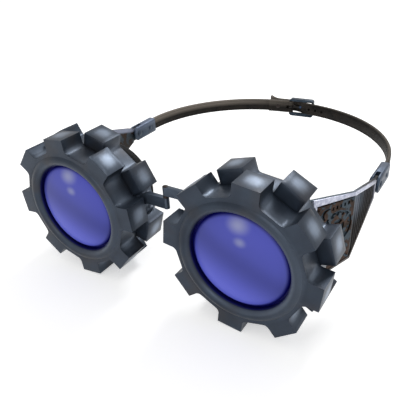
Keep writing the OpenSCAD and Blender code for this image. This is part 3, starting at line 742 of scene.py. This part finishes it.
def spread(tree, value, low, high, to_low=0.0, to_high=1.0, **settings):
    """Stretches a value from one range to another, and holds it at the ends."""
    inputs = {"Value": value, "From Min": low, "From Max": high, "To Min": to_low, "To Max": to_high}
    return node(tree, "ShaderNodeMapRange", inputs, **settings).outputs["Result"]


def maths(tree, operation, a, b):
    return node(tree, "ShaderNodeMath", {0: a, 1: b}, operation=operation).outputs[0]


def product(tree, *values):
    """All these values multiplied."""
    result = values[0]
    for value in values[1:]:
        result = maths(tree, "MULTIPLY", result, value)
    return result


def without_sign(tree, value):
    return node(tree, "ShaderNodeMath", {0: value}, operation="ABSOLUTE").outputs[0]


def object_place(tree):
    return node(tree, "ShaderNodeTexCoord").outputs["Object"]


def position(tree):
    """The three parts of a point's place on the object."""
    return node(tree, "ShaderNodeSeparateXYZ", {0: object_place(tree)}).outputs


def marked(tree, name):
    """A value that the piece carries in its mesh."""
    return node(tree, "ShaderNodeAttribute", attribute_name=name).outputs["Fac"]


def noise(tree, vector, scale, detail, **values):
    inputs = {"Vector": vector, "Scale": scale, "Detail": detail, **values}
    return node(tree, "ShaderNodeTexNoise", inputs).outputs["Fac"]


def new_group(name, inputs, outputs):
    """An empty node group with these named sockets, and its two end nodes."""
    group = bpy.data.node_groups.new(name, "ShaderNodeTree")
    for in_out, sockets in (("INPUT", inputs), ("OUTPUT", outputs)):
        for label, kind in sockets.items():
            group.interface.new_socket(label, in_out=in_out, socket_type="NodeSocket" + kind)
    return group, group.nodes.new("NodeGroupInput"), group.nodes.new("NodeGroupOutput")


def metal_group():
    """Shared effect: two colours of metal in soft clouds, with fine grain for roughness and bump."""
    group, given, out = new_group(
        "cloudy_metal",
        {"Dark": "Color", "Light": "Color", "Cloud Scale": "Float", "Grain Scale": "Float",
         "Roughness": "Float"},
        {"Colour": "Color", "Roughness": "Float", "Height": "Float"})
    where, given = object_place(group), given.outputs
    cloud = noise(group, where, given["Cloud Scale"], 3.0)
    grain = noise(group, where, given["Grain Scale"], 5.0, Roughness=0.65)
    colour = mixed(group, spread(group, cloud, 0.35, 0.65), given["Dark"], given["Light"])
    speck = spread(group, grain, 0.3, 0.7, -0.06, 0.06)
    link(group, colour, out.inputs["Colour"])
    link(group, maths(group, "ADD", given["Roughness"], speck), out.inputs["Roughness"])
    link(group, grain, out.inputs["Height"])
    return group


METAL = metal_group()


def metal(name, dark, light, roughness, metallic, cloud=90.0, grain=1500.0, bump=0.03, paint=None, shine=0.5):
    """A metal finish. paint, if given, alters its colour before it reaches the surface.

    The two colours are six hex digits each, and shine is how much the bare surface reflects.
    """
    material, shader = new_material(name)
    effect = node(material, "ShaderNodeGroup", node_tree=METAL)
    for label, value in (("Dark", rgb(dark)), ("Light", rgb(light)), ("Cloud Scale", cloud),
                         ("Grain Scale", grain), ("Roughness", roughness)):
        effect.inputs[label].default_value = value
    bumps = node(material, "ShaderNodeBump", {"Height": effect.outputs["Height"], "Strength": bump,
                                              "Distance": 0.4 * MM})
    colour = paint(material, effect.outputs["Colour"]) if paint else effect.outputs["Colour"]
    link(material, colour, shader.inputs["Base Color"])
    link(material, effect.outputs["Roughness"], shader.inputs["Roughness"])
    link(material, bumps.outputs["Normal"], shader.inputs["Normal"])
    plain_set(shader, Metallic=metallic, Specular_IOR_Level=shine)
    return material


def gear_stain_and_painted_light(tree, colour):
    """Steel with painted highlights on crowns and valley floors, stained brown in clouds, and painted navy
    shade beside the lens.
    """
    gear_painted_light = marked(tree, "gear_painted_light")
    # Painted highlights where the marked value rises above 0
    bright = mixed(tree, spread(tree, gear_painted_light, 0.0, 1.0, interpolation_type="SMOOTHSTEP"),
                   colour, rgb("8591a2"))
    stain = noise(tree, object_place(tree), 75.0, 2.0)
    stained = mixed(tree, spread(tree, stain, 0.5, 0.72, 0.0, 0.5), bright, rgb("3f3a38"))
    # Painted navy shade where the marked value falls below 0
    return mixed(tree, spread(tree, gear_painted_light, -0.1, -1.0), stained, rgb("10125a"))


def by_height(tree, at, low, high, *to):
    """Changes from 0 to 1 between these two heights in millimetres above the lens centres."""
    return spread(tree, at["Z"], (REST_H + low) * MM, (REST_H + high) * MM, *to)


def by_depth(tree, at, first, last, *to):
    """Changes from 0 to 1 between these two places in millimetres behind the lens centres."""
    return spread(tree, at["Y"], (first - MID_Y) * MM, (last - MID_Y) * MM, *to)


def border_paint(tree, colour):
    """Silver along the top that turns dark brown towards the bottom and the rear."""
    at = position(tree)
    low = by_height(tree, at, 9.5, -6)
    rear = by_depth(tree, at, BEND_Y + 14, REAR_END_Y, 0.0, 0.55)
    return mixed(tree, maths(tree, "MAXIMUM", low, rear), colour, rgb("3a322e"))


def patina(tree, colour):
    """Dark copper broken by blue-grey patches with sooty outlines."""
    patch = noise(tree, object_place(tree), 260.0, 1.5, Distortion=0.8)
    outline = spread(tree, without_sign(tree, maths(tree, "SUBTRACT", patch, 0.52)), 0.03, 0.0, 0.0, 0.8)
    colour = mixed(tree, spread(tree, patch, 0.51, 0.53), colour, rgb("3e4952"))
    return mixed(tree, outline, colour, rgb("1e1815"))


def panel_paint(tree, colour):
    """Blue-grey sheet, streaked and darker low and towards the back on the rear run, with copper bloom on the
    face to the head.
    """
    at = position(tree)
    stretched = node(tree, "ShaderNodeCombineXYZ", {
        "X": product(tree, at["Y"], 480.0), "Y": product(tree, at["Z"], 45.0)}).outputs[0]
    streak = spread(tree, noise(tree, stretched, 1.0, 3.0), 0.38, 0.62)
    behind = by_depth(tree, at, BEND_Y - 1, BEND_Y + 1)
    rear = by_depth(tree, at, BEND_Y + 2, BEND_Y + 14)
    pale = product(tree, streak, by_height(tree, at, -3, 12), behind,
                   by_depth(tree, at, BEND_Y + 2, BEND_Y + 14, 1.0, 0.25), 0.7)
    darker_low_and_back = product(tree, maths(tree, "MAXIMUM", by_height(tree, at, 15, -1), rear), behind, 0.95)
    outer = mixed(tree, pale, mixed(tree, darker_low_and_back, colour, rgb("1c1713")), rgb("8a8f9c"))
    # Darker towards the bottom on the face to the head
    sooty = by_height(tree, at, 7, -3, 0.0, 0.8)
    bloom = mixed(tree, sooty, patina(tree, rgb("33251c")), rgb("14100d"))
    top = by_depth(tree, at, BEND_Y, REAR_END_Y,
                   (REST_H + BEND_H / 2) * MM, (REST_H + STRAP_Z + STRAP_W / 2 + 0.6) * MM)
    below_top = maths(tree, "SUBTRACT", top, at["Z"])
    bloom = mixed(tree, spread(tree, below_top, 2.6 * MM, 1.5 * MM, 0.0, 0.85), bloom, rgb("9aa0b4"))
    return mixed(tree, spread(tree, marked(tree, "inner"), 0.4, 0.6), outer, bloom)


def ferrule_paint(tree, colour):
    """Blue-grey steel, paler where it grips the strap, with a painted highlight along the top.

    The painted highlight is strongest on the one on the wearer's right.
    """
    at = position(tree)
    colour = mixed(tree, by_depth(tree, at, MOUTH_Y - 9, MOUTH_Y - 1, 0.0, 0.3), colour, rgb("56606e"))
    # Painted highlight along the top, strongest on the wearer's right
    top = by_height(tree, at, STRAP_Z + 0.5, STRAP_Z + 4.2)
    top_highlight = product(tree, top, spread(tree, at["X"], 30 * MM, -30 * MM, 0.15, 0.55))
    return mixed(tree, top_highlight, colour, rgb("76829a"))


def tongue_paint(tree, colour):
    """Black towards the heel, and blue steel towards the tip."""
    tip = spread(tree, position(tree)["X"], -1.6 * MM, 0.4 * MM, interpolation_type="SMOOTHSTEP")
    return mixed(tree, tip, rgb("1b1816"), colour)


def lens_material(name, centre):
    """Violet lens: a darker band across the middle, two painted highlights above it, and a navy rim of
    painted shade.
    """
    material, shader = new_material(name)
    moved = node(material, "ShaderNodeVectorMath", {0: object_place(material), 1: tuple(centre)},
                 operation="SUBTRACT").outputs[0]
    in_mm = node(material, "ShaderNodeVectorMath", {0: moved, "Scale": 1 / MM}, operation="SCALE").outputs[0]
    at = node(material, "ShaderNodeSeparateXYZ", {0: in_mm}).outputs
    across = maths(material, "ADD", at["Z"], product(material, at["X"], 0.42))
    ramp = node(material, "ShaderNodeValToRGB", {"Fac": spread(material, across, -LIP_R, LIP_R)})
    stops = ramp.color_ramp
    stops.interpolation = "B_SPLINE"
    stops.elements[0].position, stops.elements[0].color = 0.0, rgb("6a71e2")
    stops.elements[1].position, stops.elements[1].color = 1.0, rgb("5358bc")
    for spot, colour in ((0.2, "666dde"), (0.48, "363a82"), (0.68, "4f55b0")):
        stops.elements.new(spot).color = rgb(colour)
    colour = ramp.outputs["Color"]
    # Two painted highlights, fixed on the glass
    for x, z, radius, tint in ((0.3, 15.9, 5.8, "a2a6c4"), (1.4, 9.7, 3.3, "9398be")):
        flat = node(material, "ShaderNodeCombineXYZ", {
            "X": maths(material, "SUBTRACT", at["X"], x),
            "Y": product(material, maths(material, "SUBTRACT", at["Z"], z), 1.25)}).outputs[0]
        off = node(material, "ShaderNodeVectorMath", {0: flat}, operation="LENGTH").outputs["Value"]
        painted_glint = spread(material, off, radius, 0.0, 0.0, 0.75, interpolation_type="SMOOTHSTEP")
        colour = mixed(material, painted_glint, colour, rgb(tint))
    # Navy rim: painted shade at the lens's edge, all the way round
    plane = node(material, "ShaderNodeCombineXYZ", {"X": at["X"], "Z": at["Z"]}).outputs[0]
    away = node(material, "ShaderNodeVectorMath", {0: plane}, operation="LENGTH").outputs["Value"]
    rim = spread(material, away, LIP_R - 2.2, LIP_R - 0.7, interpolation_type="SMOOTHSTEP")
    link(material, mixed(material, rim, colour, rgb("04045a")), shader.inputs["Base Color"])
    plain_set(shader, Roughness=0.4, Specular_IOR_Level=0.15, Coat_Weight=0.08, Coat_Roughness=0.1)
    return material


def grain_group():
    """Shared effect: leather grain and creases, from a place on the piece."""
    group, given, out = new_group(
        "leather_grain", {"Vector": "Vector", "Grain Scale": "Float", "Wear Scale": "Float"},
        {"Wear": "Float", "Height": "Float"})
    given = given.outputs
    cells = node(group, "ShaderNodeTexVoronoi", {"Vector": given["Vector"], "Scale": given["Grain Scale"]},
                 feature="DISTANCE_TO_EDGE").outputs["Distance"]
    worn = noise(group, given["Vector"], given["Wear Scale"], 4.0)
    link(group, spread(group, worn, 0.35, 0.68), out.inputs["Wear"])
    link(group, spread(group, cells, 0.0, 0.12), out.inputs["Height"])
    return group


GRAIN = grain_group()


def leather(name, dark, light, vector=None, grain=900.0, wear=160.0, roughness=0.62, paint=None):
    """A leather finish. vector, if given, says where the grain lies, and paint alters colour and height."""
    material, shader = new_material(name)
    where = vector(material) if vector else object_place(material)
    effect = node(material, "ShaderNodeGroup", {0: where}, node_tree=GRAIN)
    effect.inputs["Grain Scale"].default_value = grain
    effect.inputs["Wear Scale"].default_value = wear
    colour = mixed(material, effect.outputs["Wear"], rgb(dark), rgb(light))
    height = effect.outputs["Height"]
    if paint:
        colour, height = paint(material, colour, height)
    bumps = node(material, "ShaderNodeBump", {"Height": height, "Strength": 0.35, "Distance": 0.3 * MM})
    link(material, colour, shader.inputs["Base Color"])
    link(material, bumps.outputs["Normal"], shader.inputs["Normal"])
    plain_set(shader, Roughness=roughness, Specular_IOR_Level=0.15)
    return material


def strap_vector(tree):
    """Along and across the strap, so that the grain follows it round the head."""
    return node(tree, "ShaderNodeCombineXYZ",
                {"X": marked(tree, "along"), "Y": marked(tree, "across")}).outputs[0]


def strap_paint(tree, colour, height):
    """Creased groove beside each edge, edges worn paler, and a painted highlight on the upper half on the
    wearer's right.
    """
    across = marked(tree, "across")
    off = without_sign(tree, across)
    crease = maths(tree, "MAXIMUM", spread(tree, off, GROOVE_AT, GROOVE_AT + 0.22),
                   spread(tree, off, GROOVE_AT, GROOVE_AT - 0.22))
    # Painted highlight on the upper half of the strap, on the wearer's right
    painted_sheen = product(tree, spread(tree, across, -0.3, 2.2),
                    spread(tree, position(tree)["X"], 8 * MM, -45 * MM), 0.9)
    colour = mixed(tree, painted_sheen, colour, rgb("857d74"))
    colour = mixed(tree, spread(tree, off, STRAP_W * 0.42, STRAP_W * 0.5, 0.0, 0.5), colour, rgb("6a635b"))
    colour = mixed(tree, product(tree, maths(tree, "SUBTRACT", 1.0, crease), 0.6), colour, rgb("15120f"))
    return colour, maths(tree, "ADD", height, product(tree, crease, 2.0))


GEAR_STEEL = metal("gear_steel_stain_and_painted_light", "242c38", "2d3744", 0.42, 0.66, paint=gear_stain_and_painted_light)
DARK_STEEL = metal("dark_barrel_steel", "262c34", "323a45", 0.5, 0.8)
PANEL_STEEL = metal("panel_steel", "3d4852", "525f69", 0.55, 0.35, cloud=300.0, paint=panel_paint, shine=0.15)
SILVER = metal("border_silver", "a3a8bd", "d4d7e6", 0.35, 0.45, cloud=700.0, paint=border_paint)
COPPER = metal("aged_fret_copper", "281d16", "48342a", 0.5, 0.45, cloud=400.0, paint=patina, shine=0.15)
RIVET = metal("bright_rivet_steel", "7a8290", "9aa2b0", 0.35, 0.8)
FERRULE_STEEL = metal("ferrule_steel", "2a3441", "394656", 0.45, 0.65, cloud=200.0, paint=ferrule_paint)
BUCKLE_STEEL = metal("blued_buckle_steel", "1f2935", "36434f", 0.36, 0.75, cloud=250.0)
TONGUE_STEEL = metal("tongue_steel", "3a4f6e", "4d6488", 0.36, 0.7, cloud=250.0, paint=tongue_paint)
BRIDGE_STEEL = metal("bridge_steel", "3e4855", "515c6b", 0.42, 0.6)
POST_STEEL = metal("post_steel", "201a18", "3b2e28", 0.5, 0.5)
STRAP_LEATHER = leather("strap_leather_wear_and_painted_sheen", "110f0d", "241f1b", strap_vector, 1.6, 0.22, 0.6, strap_paint)
PAD_LEATHER = leather("soft_cushion_leather", "0e0e10", "1a191b")
# Near-black leather for the walls of the punched holes: painted shade in them
HOLE_SHADE = leather("hole_painted_shade", "0c0a09", "171310", roughness=0.9)
RUBBER = leather("matte_gasket_rubber", "121215", "1c1c20", grain=1400.0, roughness=0.7)


def dress(obj, material):
    """Gives a piece this material alone."""
    obj.data.materials.clear()
    obj.data.materials.append(material)


def seat(piece, material, slot, body, *cad_names):
    """Gives a finished piece its material, its body and the CAD nodes it stands for. slot is not used."""
    dress(piece, material)
    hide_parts(*cad_names)
    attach(piece, body)


# Small pieces that stay as the frame gives them
for stem, material in (
        ("eye_barrel", DARK_STEEL), ("lens_gasket", RUBBER), ("temple_fret", COPPER), ("fret_rivets", COPPER),
        ("plate_screws", RIVET), ("pivot_rivet", FERRULE_STEEL), ("ferrule_rivet", FERRULE_STEEL)):
    for word in ("left", "right"):
        dress(bpy.data.objects[f"{stem}_{word}"], material)
for cad_name, material in (("strap_rivet", POST_STEEL), ("bridge_pin", POST_STEEL), ("bridge_screws", RIVET)):
    dress(bpy.data.objects[cad_name], material)

# Cups
for side, word in ((1, "left"), (-1, "right")):
    front = gear_ring(f"front_ring_{word}", side, TOOTH_TURN, 0, roll_path(), FRONT_FILLET)
    seat(front, GEAR_STEEL, "gear_steel", f"ring_{word}", f"front_gear_{word}")
    rear = gear_ring(f"rear_ring_{word}", side, TOOTH_TURN + PITCH / 2, REAR_Y, REAR_PATH, REAR_FILLET)
    seat(rear, GEAR_STEEL, "gear_steel", "cups", f"rear_gear_{word}")
    glass = lens_material(f"lens_violet_{word}", place(side * CUP_X, 0, 0))
    seat(lens_piece(f"lens_glass_{word}", side), glass, "lens_glass", "cups", f"lens_{word}")
    pad = cushion_ring(f"face_cushion_{word}", side)
    seat(pad, PAD_LEATHER, "cushion_leather", "cups", f"eye_cushion_{word}")

# Side plates and ferrules
for side, word in ((1, "left"), (-1, "right")):
    plate = fettled(f"temple_plate_{word}", f"temple_plate_filed_{word}", SHEET_EDGE)
    mark_inner(plate, side)
    seat(plate, PANEL_STEEL, "plate_steel", "cups", f"temple_plate_{word}")
    trim = fettled(f"temple_trim_{word}", f"temple_trim_filed_{word}", SHEET_EDGE)
    seat(trim, SILVER, "trim_silver", "cups", f"temple_trim_{word}")
    ferrule = fettled(f"ferrule_{word}", f"ferrule_filed_{word}", FERRULE_EDGE)
    ease_edges(ferrule)
    seat(ferrule, FERRULE_STEEL, "plate_steel", "strap", f"ferrule_{word}")

# Buckle and bridge
hoop = fettled("buckle_frame", "buckle_hoop", HOOP_EDGE)
fuller_bars(hoop)
seat(hoop, BUCKLE_STEEL, "gear_steel", "strap", "buckle_frame")
prong = fettled("buckle_tongue", "buckle_prong", TONGUE_EDGE)
seat(prong, TONGUE_STEEL, "gear_steel", "tongue", "buckle_tongue")
for word in ("left", "right"):
    bar = fettled(f"bridge_arm_{word}", f"bridge_bar_{word}", BAR_EDGE)
    seat(bar, BRIDGE_STEEL, "gear_steel", "cups", f"bridge_arm_{word}")


def strap_part(name, line, lap_from, cutters, cad_name):
    """A finished half of the strap: laid along its line, cut, marked for the leather's grain and seated."""
    strap = strip(name, line, lap_from)
    cut(strap, cutters)
    lay_out(strap, line)
    smooth(strap, 50)
    seat(strap, STRAP_LEATHER, "strap_leather", "strap", cad_name)
    return strap


# Strap
punches = [round_punch(x) for x in HOLES_X] + [slot_punch(*LONG_SLOT)]
darken_holes(strap_part("strap_long", strap_line_left(), NO_LAP, punches, "strap_left"))
strap_part("strap_short", strap_line_right(), LAP_FROM, [slot_punch(*SHORT_SLOT)], "strap_right")

# Floor, light and camera
bpy.ops.object.select_all(action="DESELECT")
bpy.ops.mesh.primitive_plane_add(size=60, location=(0, 0, 0))
floor = bpy.context.object
floor.name = "floor"
floor_material, floor_shader = new_material("floor_white")
# The floor glows only for rays that look at it, in the picture or in a reflection, and keeps its shadow
path = node(floor_material, "ShaderNodeLightPath").outputs
looked_at = maths(floor_material, "MAXIMUM", path["Is Camera Ray"], path["Is Glossy Ray"])
looked_at = maths(floor_material, "MAXIMUM", looked_at, path["Is Transmission Ray"])
plain_set(floor_shader, Base_Color=(0.93, 0.93, 0.93, 1), Roughness=0.95, Specular_IOR_Level=0.1)
floor_shader.inputs["Emission Color"].default_value = (1, 1, 1, 1)
link(floor_material, product(floor_material, looked_at, 0.42), floor_shader.inputs["Emission Strength"])
dress(floor, floor_material)

world = bpy.data.worlds.new("studio")
bpy.context.scene.world = world
world.use_nodes = True
sky = world.node_tree.nodes["Background"]
sky.inputs["Color"].default_value = (1, 1, 1, 1)
path = node(world, "ShaderNodeLightPath").outputs
seen_sky = maths(world, "ADD", product(world, path["Is Camera Ray"], 0.38),
                 product(world, path["Is Glossy Ray"], 0.2))
link(world, maths(world, "ADD", seen_sky, 0.62), sky.inputs["Strength"])


def lamp(name, location, target, size, power):
    """A soft round lamp that looks at the target."""
    data = bpy.data.lights.new(name, "AREA")
    data.shape = "DISK"
    data.size = size
    data.energy = power
    obj = bpy.data.objects.new(name, data)
    bpy.context.scene.collection.objects.link(obj)
    obj.location = location
    obj.rotation_mode = "QUATERNION"
    obj.rotation_quaternion = (Vector(target) - Vector(location)).to_track_quat("-Z", "Y")


lamp("key", (0.0, 0.62, 0.66), (0, -0.04, 0.03), 0.3, 3.4)
lamp("fill", (0.35, -0.9, 0.55), (0, 0, 0.03), 0.6, 2.2)

# The camera's lens, place and axes were fitted to the photograph's view of the rings and the strap
camera_at = place(107.5232, -120.3648, 105.7472)
camera_right = Vector((0.85211, 0.52166, -0.04216)).normalized()
camera_back = Vector((0.46573, -0.71906, 0.51580)).normalized()
camera_up = camera_back.cross(camera_right).normalized()
camera_turn = Matrix((camera_up.cross(camera_back), camera_up, camera_back)).transposed().to_4x4()
camera_data = bpy.data.cameras.new("camera")
camera_data.sensor_width = 36
camera_data.lens = 42.32
camera_data.clip_start, camera_data.clip_end = 0.01, 10
camera = bpy.data.objects.new("camera", camera_data)
camera.matrix_world = Matrix.Translation(camera_at) @ camera_turn
bpy.context.scene.collection.objects.link(camera)
bpy.context.scene.camera = camera

bpy.context.scene.view_settings.view_transform = "Standard"
